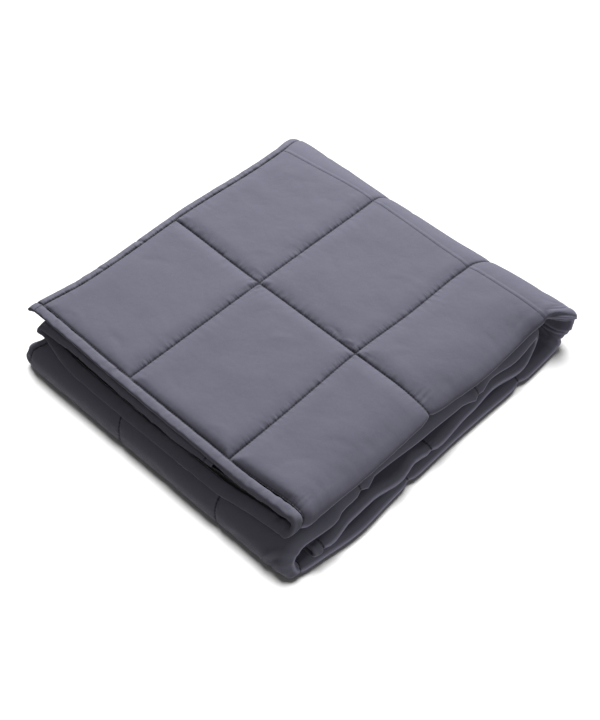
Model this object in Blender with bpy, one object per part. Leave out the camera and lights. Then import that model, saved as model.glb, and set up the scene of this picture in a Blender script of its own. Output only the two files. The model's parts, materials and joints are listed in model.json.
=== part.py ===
"""A weighted blanket, quilted in rectangles and bound along its four edges, folded for the shelf.

It is folded in three across its width and then rolled flat into four pages along its length.
Metres, +Z up. X runs across the folded blanket, Y from its loose end to its closed far end,
and the origin lies on the surface that it rests on, under the middle of its box.

A point of the blanket is given by `across` and `along`, its place on the blanket laid out flat,
and `lift`, its height over the middle of the cloth, towards the face that shows on top.
"""

import math
from collections import namedtuple

import bmesh
import bpy

# The blanket laid out flat
CELL_ACROSS = 0.168
SIDE_CELL_ACROSS = 0.157  # the outer columns lose a little to the binding
COLUMNS = 7
SIDE_BINDING = 0.012
END_BINDING = 0.012
FIRST_COLUMN = SIDE_BINDING + SIDE_CELL_ACROSS
SEAT_GAP = 0.0003  # between a binding and the quilt that it is sewn to
CORNER_GAP = 0.0010  # between the edge of an end binding and the end of a side one

# The folded blanket
PAGE_WIDE = 0.4536
PAGE_THICK = 0.0216
PAGE_PITCH = 0.0228
LAYER_GAP = 0.0010
TUCKED_EDGE = 0.024  # how far the inner fold stays behind the bound edge over it
THINNER_AT_FOLD = 0.04  # two layers at the closed side lie lower than three at the bound one
TURN_FAR = 0.424  # where the outer far turn is centred, measured from the loose end
TURN_NEAR = 0.0065  # where the turn under the loose end is centred
TURN_INNER = 0.410  # where the small turn inside the far one is centred
INNER_END = 0.008  # where the other end lies, inside the near turn

TURN_SQUARENESS = 3.6  # the weight of the filling squares the lower half of an outer turn
CORNER_SQUARENESS = 3.2  # and the far turn is creased along its top at the closed side
CORNER_STARTS = 0.6  # the share of a page's width past which that crease grows
ROUND = 2.0  # the squareness of a plain round turn

# How the loose end lies
END_SHEAR = 0.020  # the lower layer of the top page reaches out past the upper one
END_SHEAR_RUN = 0.16
SHEAR_POWER = 1.7  # most of it between the inner flap and the lower layer
TIP_SHARE = 0.55  # the share by which the tucked corner reaches out, and how wide it is
TIP_RUN = 0.10
END_DRAPE = 0.005  # how far that layer hangs down over the turn under it
END_DRAPE_RUN = 0.032
END_OPENING = 0.006  # and the layers part there towards the bound side
END_OPENING_RUN = 0.22
FLAP_FOLLOWS = 0.8  # the share of that opening by which the inner flap follows the upper layer
EDGE_DROOP = 0.004  # the bound edge hangs a little where nothing lies under it
EDGE_DROOP_RUN = 0.020

# Quilting
SEAM_PINCH = 0.55  # the share of its thickness that the cloth loses at a stitch line
SEAM_PINCH_RUN = 0.020
CROWN = 0.0026  # how far a cell stands up where nothing presses on it
TURN_CROWN = 0.5  # the share of that crown at the start of the far turn
NEAR_TURN_CROWN = 0.4  # and halfway down the near one
THICKENING_RUN = 0.07  # the cloth fills out over this length past the end of the inner flap

# Small folds where the far turn is gathered at the closed side
CRUMPLE = 0.0045
CRUMPLES = 3.5
CRUMPLE_STARTS = 0.75  # the share of a page's width past which they grow

# How finely the solids are drawn
GRID_STEP_ACROSS = 0.045
GRID_STEP_ALONG = 0.052
GROOVE_STEP = 0.010
TURN_STEPS = 8
SMALL_TURN_STEPS = 6
BINDING_SIDES = 8
BINDING_HALF = 0.0036  # half a binding's thickness, which has no filling to swell it
BINDING_ROUNDNESS = 0.65  # 1 is an ellipse, and less is fuller

COTTON = (0.165, 0.165, 0.205, 1.0)
COTTON_ROUGHNESS = 0.85

Leg = namedtuple("Leg", "name turn start stop low high")
Row = namedtuple("Row", "leg place pinch groove")
Reach = namedtuple("Reach", "leg place out")
Edge = namedtuple("Edge", "leg place share run stays")
Bow = namedtuple("Bow", "leg place bound first second closed")


def level(page):
    """The height of the middle of a page, counted from the floor up."""
    return PAGE_THICK / 2 + (page - 1) * PAGE_PITCH


# The way of the cloth through the fold, from the loose end on top to the end inside.
# A page runs from start to stop; a turn is centred at start, and turn says to which side.
LEGS = (
    Leg("top page", 0, 0.0, TURN_FAR, level(4), level(4)),
    Leg("far turn", 1, TURN_FAR, TURN_FAR, level(1), level(4)),
    Leg("bottom page", 0, TURN_FAR, TURN_NEAR, level(1), level(1)),
    Leg("near turn", -1, TURN_NEAR, TURN_NEAR, level(1), level(3)),
    Leg("third page", 0, TURN_NEAR, TURN_INNER, level(3), level(3)),
    Leg("inner turn", 1, TURN_INNER, TURN_INNER, level(2), level(3)),
    Leg("second page", 0, TURN_INNER, INNER_END, level(2), level(2)),
)

# The stitch lines across the blanket: the leg, the place on it (a share of a turn's arc), the
# share of a seam's pinch, and how far to each side the groove is drawn (0 where it is hidden)
ROWS = (
    Row("top page", 0.215, 1.0, 0.010),
    Row("top page", 0.4195, 0.4, 0.010),
    Row("bottom page", 0.370, 1.0, 0.020),
    Row("bottom page", 0.166, 1.0, 0.020),
    Row("near turn", 0.20, 1.0, 0.0),
    Row("third page", 0.096, 1.0, 0.0),
    Row("third page", 0.294, 1.0, 0.0),
    Row("second page", 0.203, 1.0, 0.0),
)

# How far the closed side of each page stands out, which is least at its stitch lines
REACHES = (
    Reach("top page", 0.000, -0.003),
    Reach("top page", 0.116, -0.001),
    Reach("top page", 0.215, -0.003),
    Reach("top page", 0.308, 0.002),
    Reach("top page", 0.390, -0.002),
    Reach("top page", 0.420, 0.001),
    Reach("far turn", 0.25, 0.013),
    Reach("far turn", 0.60, 0.008),
    Reach("bottom page", 0.387, 0.013),
    Reach("bottom page", 0.260, 0.011),
    Reach("bottom page", 0.149, 0.013),
    Reach("bottom page", 0.079, 0.017),
    Reach("near turn", 0.20, 0.008),
    Reach("near turn", 0.50, 0.001),
    Reach("near turn", 0.80, 0.001),
    Reach("third page", 0.045, 0.005),
    Reach("third page", 0.066, -0.001),
    Reach("third page", 0.105, 0.000),
    Reach("third page", 0.121, -0.007),
    Reach("third page", 0.209, -0.002),
    Reach("third page", 0.270, 0.000),
    Reach("third page", 0.288, 0.008),
    Reach("third page", 0.325, -0.002),
    Reach("third page", 0.364, 0.003),
    Reach("inner turn", 0.50, -0.003),
    Reach("second page", 0.370, 0.011),
    Reach("second page", 0.324, 0.004),
    Reach("second page", 0.277, 0.008),
    Reach("second page", 0.206, 0.014),
    Reach("second page", 0.178, 0.008),
    Reach("second page", 0.146, 0.014),
    Reach("second page", 0.105, 0.008),
    Reach("second page", 0.068, 0.009),
    Reach("second page", 0.031, 0.015),
)

# How far the bound side stands out in the same way
SIDE_REACHES = (
    Reach("top page", 0.000, 0.002),
    Reach("top page", 0.070, -0.004),
    Reach("top page", 0.230, 0.004),
    Reach("top page", 0.380, -0.001),
    Reach("bottom page", 0.200, 0.000),
    Reach("near turn", 0.30, -0.001),
    Reach("near turn", 0.60, -0.011),
    Reach("near turn", 0.85, -0.026),
    Reach("third page", 0.100, -0.010),
)

# How the filling slides away from the closed side: the share of the thickness that goes, over
# which run, and the side of the cloth that stays put (1 is its face, -1 its back)
EDGES = (
    Edge("top page", 0.000, 0.08, 0.030, -1),
    Edge("top page", 0.090, 0.64, 0.066, -1),
    Edge("top page", 0.370, 0.64, 0.066, -1),
    Edge("far turn", 0.25, 0.55, 0.050, 1),
    Edge("far turn", 0.60, 0.12, 0.040, 1),
    Edge("bottom page", 0.200, 0.05, 0.040, -1),
    Edge("near turn", 0.60, 0.05, 0.040, -1),
    Edge("third page", 0.050, 0.42, 0.036, -1),
    Edge("third page", 0.350, 0.42, 0.036, -1),
    Edge("second page", 0.340, 0.10, 0.030, -1),
    Edge("second page", INNER_END, 0.10, 0.030, -1),
)

# How the cloth lies off its straight place, most of it near the crossings of its stitch lines:
# (x, y) at the bound side, on the first and the second column line, and at the closed side
BOWS = (
    Bow("top page", 0.0, (0.001, -0.0045), (0.0018, -0.0066), (-0.0015, -0.0055), (-0.0030, 0.0020)),
    Bow("top page", 0.215, (0.0038, 0.0080), (-0.0009, 0.0036), (-0.0059, 0.0020), (-0.0030, 0.0020)),
    Bow("top page", 0.4195, (0.0041, -0.0060), (0.0011, 0.0046), (-0.0025, -0.0015), (0.0000, 0.0)),
    Bow("far turn", 0.25, (-0.0032, 0.0008), (0.0040, -0.0030), (-0.0015, -0.0040), (0.0057, -0.0036)),
    Bow("far turn", 0.80, (0.0, 0.0), (0.0, 0.0), (0.0, 0.0), (0.0, 0.0)),
    Bow("near turn", 0.0, (0.0, -0.0025), (0.006, -0.0025), (0.002, -0.0025), (0.0, -0.0025)),
    Bow("near turn", 0.5, (0.0, -0.004), (0.016, -0.004), (0.009, -0.004), (0.0, -0.004)),
    Bow("near turn", 0.80, (0.0, -0.0010), (0.012, -0.002), (0.007, -0.002), (0.0, -0.002)),
    Bow("third page", 0.05, (0.0, 0.0), (0.0, 0.0), (0.0, 0.0), (0.0, 0.0)),
)


def smooth(x):
    """A step from 0 to 1 with soft ends, as x goes from 0 to 1."""
    x = min(1.0, max(0.0, x))
    return x * x * (3 - 2 * x)


def mix(a, b, share):
    return a + (b - a) * share


# --- along the blanket: the flat roll of four pages ---


def leg_length(leg):
    if leg.turn:
        return math.pi * (leg.high - leg.low) / 2
    return abs(leg.stop - leg.start)


LEG_STARTS = [sum(leg_length(before) for before in LEGS[:i]) for i in range(len(LEGS))]
LENGTH = LEG_STARTS[-1] + leg_length(LEGS[-1])


def along_at(leg_name, place):
    """The distance along the blanket of a place on a leg."""
    for leg, begins in zip(LEGS, LEG_STARTS):
        if leg.name == leg_name:
            if leg.turn:
                return begins + place * leg_length(leg)
            return begins + abs(place - leg.start)
    raise ValueError(leg_name)


def leg_at(along):
    for leg, begins in zip(reversed(LEGS), reversed(LEG_STARTS)):
        if along >= begins:
            return leg, along - begins
    return LEGS[0], along


ROW_LINES = [along_at(row.leg, row.place) for row in ROWS]
END_LINES = [END_BINDING, LENGTH - END_BINDING]


def knots_of(rows, column):
    """Pairs of a distance along the blanket and the value that a table gives there."""
    return [(along_at(row.leg, row.place), getattr(row, column)) for row in rows]


CLOSED_KNOTS = knots_of(REACHES, "out")
BOUND_KNOTS = knots_of(SIDE_REACHES, "out")
EDGE_KNOTS = [knots_of(EDGES, column) for column in ("share", "run", "stays")]
BOW_KNOTS = [knots_of(BOWS, column) for column in ("bound", "first", "second", "closed")]
BOW_SIDES = (0.0, FIRST_COLUMN, FIRST_COLUMN + CELL_ACROSS, PAGE_WIDE)


def between_knots(along, knots):
    """The smooth value at a distance along the blanket."""
    if along <= knots[0][0]:
        return knots[0][1]
    for (a, out_a), (b, out_b) in zip(knots, knots[1:]):
        if along <= b:
            return mix(out_a, out_b, smooth((along - a) / (b - a)))
    return knots[-1][1]


def bow(x, along):
    """How far the cloth lies off its straight place, in x and in y."""
    shifts = []
    for axis in (0, 1):
        lines = [
            between_knots(along, [(at, shift[axis]) for at, shift in knots]) for knots in BOW_KNOTS
        ]
        found = lines[0]
        for a, b, line, after in zip(BOW_SIDES, BOW_SIDES[1:], lines, lines[1:]):
            if x > a:
                found = mix(line, after, smooth((x - a) / (b - a)))
        shifts.append(found)
    return shifts


def drawn_together(x, height, along):
    """The height in the strip where the cloth gets thinner towards its closed side."""
    share, run, side = (between_knots(along, knots) for knots in EDGE_KNOTS)
    near = max(0.0, 1 - (PAGE_WIDE - x) / run) ** 2
    stays = side * PAGE_THICK / 2
    return stays + (height - stays) * (1 - share * near)


def past(start, x):
    """Grows from 0 at a share of a page's width to 1 at its closed side."""
    return smooth((x / PAGE_WIDE - start) / (1 - start))


def squareness(leg, up, x):
    """The exponent of a turn's outline: 2 is round, and more is squarer."""
    if leg.low != level(1):
        return ROUND
    if up < 0:
        return TURN_SQUARENESS
    if leg.name == "far turn":
        return mix(ROUND, CORNER_SQUARENESS, past(CORNER_STARTS, x))
    return ROUND


def crumple(along, x):
    """How far the far turn is pressed in by its small folds, which fade from the closed side."""
    leg, run = leg_at(along)
    if leg.name != "far turn":
        return 0.0
    share = run / leg_length(leg)
    wave = math.sin(math.pi * CRUMPLES * share) ** 2 * math.sin(math.pi * share)
    return -CRUMPLE * wave * past(CRUMPLE_STARTS, x)


def sheared(x, run, depth):
    """How far a layer of the top page reaches out at its loose end; depth is 1 at the lowest."""
    tip = 1 - smooth(x / TIP_RUN)
    middle = max(0.0, 4 * depth * (1 - depth))
    reach = (1 - tip) * depth**SHEAR_POWER + tip * TIP_SHARE * middle**SHEAR_POWER
    return END_SHEAR * reach * (1 - smooth(run / END_SHEAR_RUN))


def folded(x, height, along):
    """Takes a point of the three-layer strip, height over its middle, into the roll."""
    leg, run = leg_at(along)
    height = drawn_together(x, height, along) + crumple(along, x)
    if leg.turn:
        angle = math.pi * run / leg_length(leg)
        out, up = math.sin(angle), leg.turn * math.cos(angle)
        radius = (leg.high - leg.low) / 2 + height
        power = squareness(leg, up, x)
        radius /= (out**power + abs(up) ** power) ** (1 / power)
        y = leg.start + leg.turn * radius * out
        z = (leg.high + leg.low) / 2 + radius * up
    else:
        forward = 1 if leg.stop > leg.start else -1
        y = leg.start + forward * run
        z = leg.low + forward * height
    if leg.name == "top page":
        depth = max(0.0, 0.5 - height / PAGE_THICK)
        y -= sheared(x, run, depth)
        z -= END_DRAPE * depth * max(0.0, 1 - run / END_DRAPE_RUN) ** 2
    z *= 1 - THINNER_AT_FOLD * x / PAGE_WIDE
    share = x / PAGE_WIDE
    closed = between_knots(along, CLOSED_KNOTS) * smooth(2 * share - 1)
    bound = between_knots(along, BOUND_KNOTS) * (1 - smooth(3 * share))
    bow_x, bow_y = bow(x, along)
    return x + closed - bound + bow_x, y + bow_y, z


# --- across the blanket: the strip of three layers ---

THREE = (PAGE_THICK - 2 * LAYER_GAP) / 3  # a layer's thickness where three lie together
TWO = (PAGE_THICK - LAYER_GAP) / 2
FOLD_X = PAGE_WIDE - PAGE_THICK / 2
FOLD_RADIUS = (PAGE_THICK - TWO) / 2
TUCK_RADIUS = (THREE + LAYER_GAP) / 2
TUCK_X = TUCKED_EDGE + TUCK_RADIUS + THREE / 2

FOLD_STARTS = FOLD_X
FOLD_ENDS = FOLD_STARTS + math.pi * FOLD_RADIUS
TUCK_STARTS = FOLD_ENDS + FOLD_X - TUCK_X
TUCK_ENDS = TUCK_STARTS + math.pi * TUCK_RADIUS
WIDTH = 2 * SIDE_BINDING + 2 * SIDE_CELL_ACROSS + (COLUMNS - 2) * CELL_ACROSS
FLAP_ENDS = TUCK_X + WIDTH - TUCK_ENDS

COLUMN_LINES = [FIRST_COLUMN + i * CELL_ACROSS for i in range(COLUMNS - 1)]
SIDE_LINES = [SIDE_BINDING, WIDTH - SIDE_BINDING]
SEAMS_ACROSS = [(line, 1.0) for line in SIDE_LINES + COLUMN_LINES]
SEAMS_ALONG = [(line, 1.0) for line in END_LINES]
SEAMS_ALONG += [(line, row.pinch) for line, row in zip(ROW_LINES, ROWS)]


def layer_thickness(x):
    """Thin beside the inner flap, thick past its end."""
    return mix(THREE, TWO, smooth((x - FLAP_ENDS - LAYER_GAP) / THICKENING_RUN))


def opening(along, x):
    """How far the layers of the top page part at its loose end."""
    near = 1 - smooth(along / END_OPENING_RUN)
    return END_OPENING * near * (1 - smooth(x / FOLD_X))


def heights(along, x):
    """The middle heights of the upper, the lower and the flap layer of the strip."""
    apart = opening(along, x)
    droop = EDGE_DROOP * max(0.0, 1 - x / EDGE_DROOP_RUN) ** 2
    thick = layer_thickness(x)
    upper = (PAGE_THICK - thick) / 2 + apart - droop
    lower = -(PAGE_THICK - thick) / 2
    return upper, lower, FLAP_FOLLOWS * apart


def section(across, along):
    """Where a point across the blanket lies in the strip: x, height, its outward angle and
    half its thickness."""
    if across <= FOLD_STARTS:
        upper, _, _ = heights(along, across)
        return across, upper, math.pi / 2, layer_thickness(across) / 2
    if across <= FOLD_ENDS:
        turned = math.pi * (across - FOLD_STARTS) / (FOLD_ENDS - FOLD_STARTS)
        upper, lower, _ = heights(along, FOLD_X)
        x = FOLD_X + FOLD_RADIUS * math.sin(turned)
        height = (upper + lower) / 2 + (upper - lower) / 2 * math.cos(turned)
        return x, height, math.pi / 2 - turned, TWO / 2
    if across <= TUCK_STARTS:
        x = FOLD_X - (across - FOLD_ENDS)
        _, lower, _ = heights(along, x)
        return x, lower, -math.pi / 2, layer_thickness(x) / 2
    if across <= TUCK_ENDS:
        turned = math.pi * (across - TUCK_STARTS) / (TUCK_ENDS - TUCK_STARTS)
        _, lower, flap = heights(along, TUCK_X)
        x = TUCK_X - TUCK_RADIUS * math.sin(turned)
        height = (flap + lower) / 2 - (flap - lower) / 2 * math.cos(turned)
        return x, height, -math.pi / 2 - turned, THREE / 2
    x = TUCK_X + across - TUCK_ENDS
    _, _, flap = heights(along, x)
    return x, flap, math.pi / 2, THREE / 2


def place(across, along, lift):
    """The point of the folded blanket over a point of the flat one."""
    x, height, angle, _ = section(across, along)
    return folded(x + lift * math.cos(angle), height + lift * math.sin(angle), along)


# --- the quilt ---


def pinched(value, lines):
    """1 on a stitch line, falling to 0 where its groove ends. lines holds places and pinches."""
    return max(
        pinch * max(0.0, 1 - abs(value - line) / SEAM_PINCH_RUN) ** 2 for line, pinch in lines
    )


def crown_room(across, along):
    """The share of the crown that a cell's front has room for."""
    leg, run = leg_at(along)
    if across > FOLD_ENDS:
        return 0.0
    if leg.name == "top page":
        return 1.0
    if leg.name == "far turn":
        return TURN_CROWN * (1 - run / leg_length(leg))
    if leg.name == "near turn":
        return NEAR_TURN_CROWN * math.sin(math.pi * run / leg_length(leg))
    return 0.0


def half_thickness(across, along, front):
    """How far the front or the back of the quilt lies from its middle."""
    room = section(across, along)[3]
    seam = max(pinched(across, SEAMS_ACROSS), pinched(along, SEAMS_ALONG))
    half = room * (1 - SEAM_PINCH * seam)
    if front:
        half += CROWN * crown_room(across, along) * (1 - seam)
    return half


def spread(marks, step):
    """The marks in order, with evenly spaced stations between those further apart than step."""
    marks = sorted(marks)
    stations = [marks[0]]
    for a, b in zip(marks, marks[1:]):
        if b - a < 1e-6:
            continue
        parts = max(1, round((b - a) / step))
        stations += [mix(a, b, (i + 1) / parts) for i in range(parts)]
    return stations


def turn_stations(start, stop, steps):
    return [mix(start, stop, i / steps) for i in range(steps + 1)]


def stations_across():
    marks = turn_stations(FOLD_STARTS, FOLD_ENDS, SMALL_TURN_STEPS)
    marks += turn_stations(TUCK_STARTS, TUCK_ENDS, SMALL_TURN_STEPS)
    marks += SIDE_LINES + COLUMN_LINES + [SIDE_BINDING + GROOVE_STEP]
    for line in COLUMN_LINES[:2]:
        marks += [line - GROOVE_STEP, line + GROOVE_STEP]
    return spread(marks, GRID_STEP_ACROSS)


def stations_along():
    marks = END_LINES + ROW_LINES + [END_BINDING + GROOVE_STEP]
    for leg, begins in zip(LEGS, LEG_STARTS):
        if leg.turn:
            steps = SMALL_TURN_STEPS if leg.name == "inner turn" else TURN_STEPS
            marks += turn_stations(begins, begins + leg_length(leg), steps)
    for row, line in zip(ROWS, ROW_LINES):
        marks += [line - row.groove, line + row.groove]
    return spread(marks, GRID_STEP_ALONG)


def quilt_ring(along, columns):
    """Round the quilt at one distance along: its front one way and its back the other."""
    front = [place(a, along, half_thickness(a, along, True)) for a in columns]
    back = [place(a, along, -half_thickness(a, along, False)) for a in columns]
    return front + back[::-1]


# --- the bindings ---


def bar(width, half):
    """The outline of a rounded bar: how far in from the edge, and its lift."""
    outline = []
    for i in range(BINDING_SIDES):
        turned = 2 * math.pi * (i + 0.5) / BINDING_SIDES
        out, up = math.cos(turned), math.sin(turned)
        inward = width / 2 * (1 - math.copysign(abs(out) ** BINDING_ROUNDNESS, out))
        outline.append((inward, half * math.copysign(abs(up) ** BINDING_ROUNDNESS, up)))
    return outline


def side_ring(along, far_side):
    """Round a side binding at one distance along the blanket."""
    middle = WIDTH - SIDE_BINDING / 2 if far_side else SIDE_BINDING / 2
    half = min(BINDING_HALF, section(middle, along)[3])
    ring = []
    for inward, lift in bar(SIDE_BINDING - SEAT_GAP, half):
        across = WIDTH - inward if far_side else inward
        ring.append(place(across, along, lift))
    return ring


def end_ring(across, inner_end):
    """Round an end binding at one distance across the blanket."""
    middle = LENGTH - END_BINDING / 2 if inner_end else END_BINDING / 2
    half = min(BINDING_HALF, section(across, middle)[3])
    ring = []
    for inward, lift in bar(END_BINDING - SEAT_GAP, half):
        along = LENGTH - inward if inner_end else inward
        ring.append(place(across, along, lift))
    return ring


# --- building ---


def cotton(name):
    material = bpy.data.materials.new(name)
    material.use_nodes = True
    shader = material.node_tree.nodes["Principled BSDF"]
    shader.inputs["Base Color"].default_value = COTTON
    shader.inputs["Roughness"].default_value = COTTON_ROUGHNESS
    shader.inputs["Metallic"].default_value = 0.0
    material.diffuse_color = COTTON
    return material


def loft(name, rings, cap):
    """A closed body through rings of points; cap closes an end ring with faces."""
    bm = bmesh.new()
    loops = [[bm.verts.new(point) for point in ring] for ring in rings]
    count = len(loops[0])
    for ring, after in zip(loops, loops[1:]):
        for i in range(count):
            j = (i + 1) % count
            bm.faces.new((ring[i], ring[j], after[j], after[i]))
    cap(bm, loops[0])
    cap(bm, loops[-1])
    bmesh.ops.recalc_face_normals(bm, faces=bm.faces)
    mesh = bpy.data.meshes.new(name)
    bm.to_mesh(mesh)
    bm.free()
    mesh.shade_smooth()
    mesh.set_sharp_from_angle(angle=math.radians(60))
    mesh.materials.append(cotton(name + "_cotton"))
    piece = bpy.data.objects.new(name, mesh)
    bpy.context.scene.collection.objects.link(piece)
    return piece


def cap_strip(bm, ring):
    """Closes a ring with faces between its front and its back, so that it can be bent."""
    count = len(ring)
    for i in range(count // 2 - 1):
        bm.faces.new((ring[i], ring[i + 1], ring[count - 2 - i], ring[count - 1 - i]))


def cap_disc(bm, ring):
    bm.faces.new(ring)


def centre(pieces):
    """Moves the pieces so that the origin is under the middle of their box."""
    points = [vertex.co for piece in pieces for vertex in piece.data.vertices]
    lows = [min(p[i] for p in points) for i in range(3)]
    highs = [max(p[i] for p in points) for i in range(3)]
    shift = ((lows[0] + highs[0]) / -2, (lows[1] + highs[1]) / -2, -lows[2])
    for piece in pieces:
        for vertex in piece.data.vertices:
            vertex.co = [c + s for c, s in zip(vertex.co, shift)]


def build():
    for old in list(bpy.data.objects):
        bpy.data.objects.remove(old, do_unlink=True)
    columns = stations_across()
    rows = stations_along()
    pieces = [loft("quilt", [quilt_ring(row, columns) for row in rows], cap_strip)]

    bound = [0.0, SIDE_BINDING / 2] + columns + [WIDTH - SIDE_BINDING / 2, WIDTH]
    for name, inner_end in (("binding_loose_end", False), ("binding_inner_end", True)):
        pieces.append(loft(name, [end_ring(a, inner_end) for a in bound], cap_disc))

    first = END_BINDING + CORNER_GAP
    sides = [first] + [row for row in rows if first < row < LENGTH - first] + [LENGTH - first]
    for name, far_side in (("binding_outer_side", False), ("binding_flap_side", True)):
        pieces.append(loft(name, [side_ring(row, far_side) for row in sides], cap_strip))
    centre(pieces)


build()
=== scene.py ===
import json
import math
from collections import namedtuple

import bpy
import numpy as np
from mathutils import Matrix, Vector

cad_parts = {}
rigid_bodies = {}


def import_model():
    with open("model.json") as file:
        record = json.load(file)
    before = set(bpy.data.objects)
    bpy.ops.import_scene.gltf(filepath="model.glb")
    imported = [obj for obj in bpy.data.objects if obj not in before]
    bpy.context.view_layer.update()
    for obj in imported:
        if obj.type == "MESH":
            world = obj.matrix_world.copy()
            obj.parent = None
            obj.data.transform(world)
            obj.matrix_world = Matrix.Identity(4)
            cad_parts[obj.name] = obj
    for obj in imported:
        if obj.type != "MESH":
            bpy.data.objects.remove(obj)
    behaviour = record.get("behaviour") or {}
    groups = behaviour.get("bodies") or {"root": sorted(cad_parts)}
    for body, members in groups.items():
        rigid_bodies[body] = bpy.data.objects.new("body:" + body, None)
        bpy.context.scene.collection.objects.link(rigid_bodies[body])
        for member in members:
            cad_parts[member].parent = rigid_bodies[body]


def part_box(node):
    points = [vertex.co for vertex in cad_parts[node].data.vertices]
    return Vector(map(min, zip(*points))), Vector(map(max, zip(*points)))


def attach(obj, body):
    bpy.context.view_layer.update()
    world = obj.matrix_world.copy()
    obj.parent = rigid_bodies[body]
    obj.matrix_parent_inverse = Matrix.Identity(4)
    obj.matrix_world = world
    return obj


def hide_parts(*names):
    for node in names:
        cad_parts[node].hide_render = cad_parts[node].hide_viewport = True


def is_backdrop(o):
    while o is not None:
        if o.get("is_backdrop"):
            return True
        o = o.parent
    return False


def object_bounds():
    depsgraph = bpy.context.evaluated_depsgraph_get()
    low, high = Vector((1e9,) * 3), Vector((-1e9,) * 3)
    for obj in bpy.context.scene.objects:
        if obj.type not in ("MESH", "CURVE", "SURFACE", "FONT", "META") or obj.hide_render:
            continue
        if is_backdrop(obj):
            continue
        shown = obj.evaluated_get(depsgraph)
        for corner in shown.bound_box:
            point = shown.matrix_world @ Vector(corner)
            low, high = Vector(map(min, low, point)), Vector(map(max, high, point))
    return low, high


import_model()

# The looks of the folded weighted blanket, in metres, in the frame of its solids.
#
# A point of the blanket is given by `across` and `along`, its place on the blanket laid out
# flat, and `lift`, its height over the middle of the cloth, towards the face that shows on
# top. The quilt, its bindings and its stitches are all drawn on the flat blanket and then
# folded together, so they stay on each other.

cad_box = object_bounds()

# --- sizes ---

# The blanket laid out flat, as in the solids
CELL_ACROSS = 0.168
SIDE_CELL_ACROSS = 0.157
COLUMNS = 7
SIDE_BINDING = 0.012
END_BINDING = 0.012
FIRST_COLUMN = SIDE_BINDING + SIDE_CELL_ACROSS
SEAT_GAP = 0.0003  # between a side binding's end and the end binding that caps it

# The folded blanket, as in the solids
PAGE_WIDE = 0.4536
PAGE_THICK = 0.0216
PAGE_PITCH = 0.0228
LAYER_GAP = 0.0010
TUCKED_EDGE = 0.024
THINNER_AT_FOLD = 0.04
TURN_FAR = 0.424
TURN_NEAR = 0.0065
TURN_INNER = 0.410
INNER_END = 0.008
TURN_SQUARENESS = 3.6
CORNER_SQUARENESS = 3.2
CORNER_STARTS = 0.6
ROUND = 2.0
END_SHEAR = 0.020
END_SHEAR_RUN = 0.16
SHEAR_POWER = 1.7
TIP_SHARE = 0.55
TIP_RUN = 0.10
END_DRAPE = 0.005
END_DRAPE_RUN = 0.032
END_OPENING = 0.006
END_OPENING_RUN = 0.22
FLAP_FOLLOWS = 0.8  # the share of that opening by which the inner flap follows the upper layer
EDGE_DROOP = 0.004
EDGE_DROOP_RUN = 0.020
CROWN = 0.0026
TURN_CROWN = 0.5
NEAR_TURN_CROWN = 0.4
THICKENING_RUN = 0.07
CRUMPLE = 0.0045
CRUMPLES = 3.5
CRUMPLE_STARTS = 0.75

# Quilting, finer than in the solids
SEAM_PINCH = 0.50
SEAM_PINCH_RUN = 0.022
END_PINCH_RUN = 0.018  # beside the strips at the ends the cloth rises sooner
END_PINCHES = (0.45, 0.75)  # from a shallower groove: its share at the bound and closed side
CREASE = 0.0019  # the sharp line that the thread pulls in
CREASE_RUN = 0.0015
GATHER = 0.00065  # the ripples that run out from a stitch line
GATHER_RUN = 0.017
GATHER_PITCH = 0.0085
GATHER_CLEAR = 0.0022  # how far off the line they have risen
GATHER_SIZE = 0.5
# how much their place, size, length and lean change along the line, and over which pitch
GATHER_SPREADS = ((0.9, 0.021), (0.5, 0.043), (0.6, 0.017), (0.25, 0.06))
LEAST_GATHERS = 0.35  # the share of them where a cell has no room to rise
END_GATHER = 0.35  # and beside the strips at the ends and the faint seam
RIDGE = 0.0013  # the crease that the fold leaves along each closed side
RIDGE_AT = 0.58  # as a share of the way round the fold
RIDGE_RUN = 0.0013
END_PUFF = 0.0018  # the filling stands up beside the strip at the loose end
END_PUFF_RISE = 0.009
END_PUFF_RUN = 0.050
END_PUFF_SHARES = (0.1, 1.3)  # at the bound and at the closed side
FAR_SEAM = 0.32  # the share of the pinch where a column line goes over the far turn
FAR_SEAM_STARTS = 0.40
FAR_SEAM_RUN = 0.06
UNEVEN = 0.0009  # the beads lie unevenly in their cells
UNEVEN_PITCH = 0.055
FINER_UNEVEN = 0.5  # the share of a finer unevenness
FINER_BY = (2.1, 2.3)  # and how much finer it is, across and along
WRINKLE_BEND = 0.25

# Stitches
STITCH = 0.0029
STITCH_GAP = 0.0007
THREAD = 0.00030  # half its thickness
THREAD_LIFT = 0.6  # how high its middle lies on the cloth, as a share of that
THREAD_ENDS = 0.05  # the share of its section at the ends of a stitch
THREAD_BLUNTNESS = 4
STITCH_RINGS = 5
STITCH_SIDES = 6
FAR_TURN_STITCHED = 0.6  # the shares of the turns over which the stitches show
NEAR_TURN_STITCHED = 0.8
TOPSTITCH_IN = 0.0009  # how far a binding's topstitch is from its inner edge

# Painted highlights along the fold's ridge, the highest crests and the bindings' edges, where light
# catches them, and the painted shade line at the seams
FAINT_SEAM = 0.0010  # a shallow seam is drawn as if this much further off
NO_SEAM = 1.0  # a distance at which no seam shows
# half the width of the lighter line painted where light catches the fold's ridge
RIDGE_HIGHLIGHT_RUN = 0.0011
BINDING_HIGHLIGHT_RUN = 0.0015
BINDING_HIGHLIGHT = (0.2, 1.9)  # how strong the painted highlight on a binding's outer edge is: on the upper and on the lower layer
CREST_FROM = 0.0025  # creases that stand up more than this get a painted highlight on their crest
CREST_RUN = 0.0014
CREST_HIGHLIGHT = 0.8
STRIP_GATHERS = 0.8  # the share of the small gathers that a binding has

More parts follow.
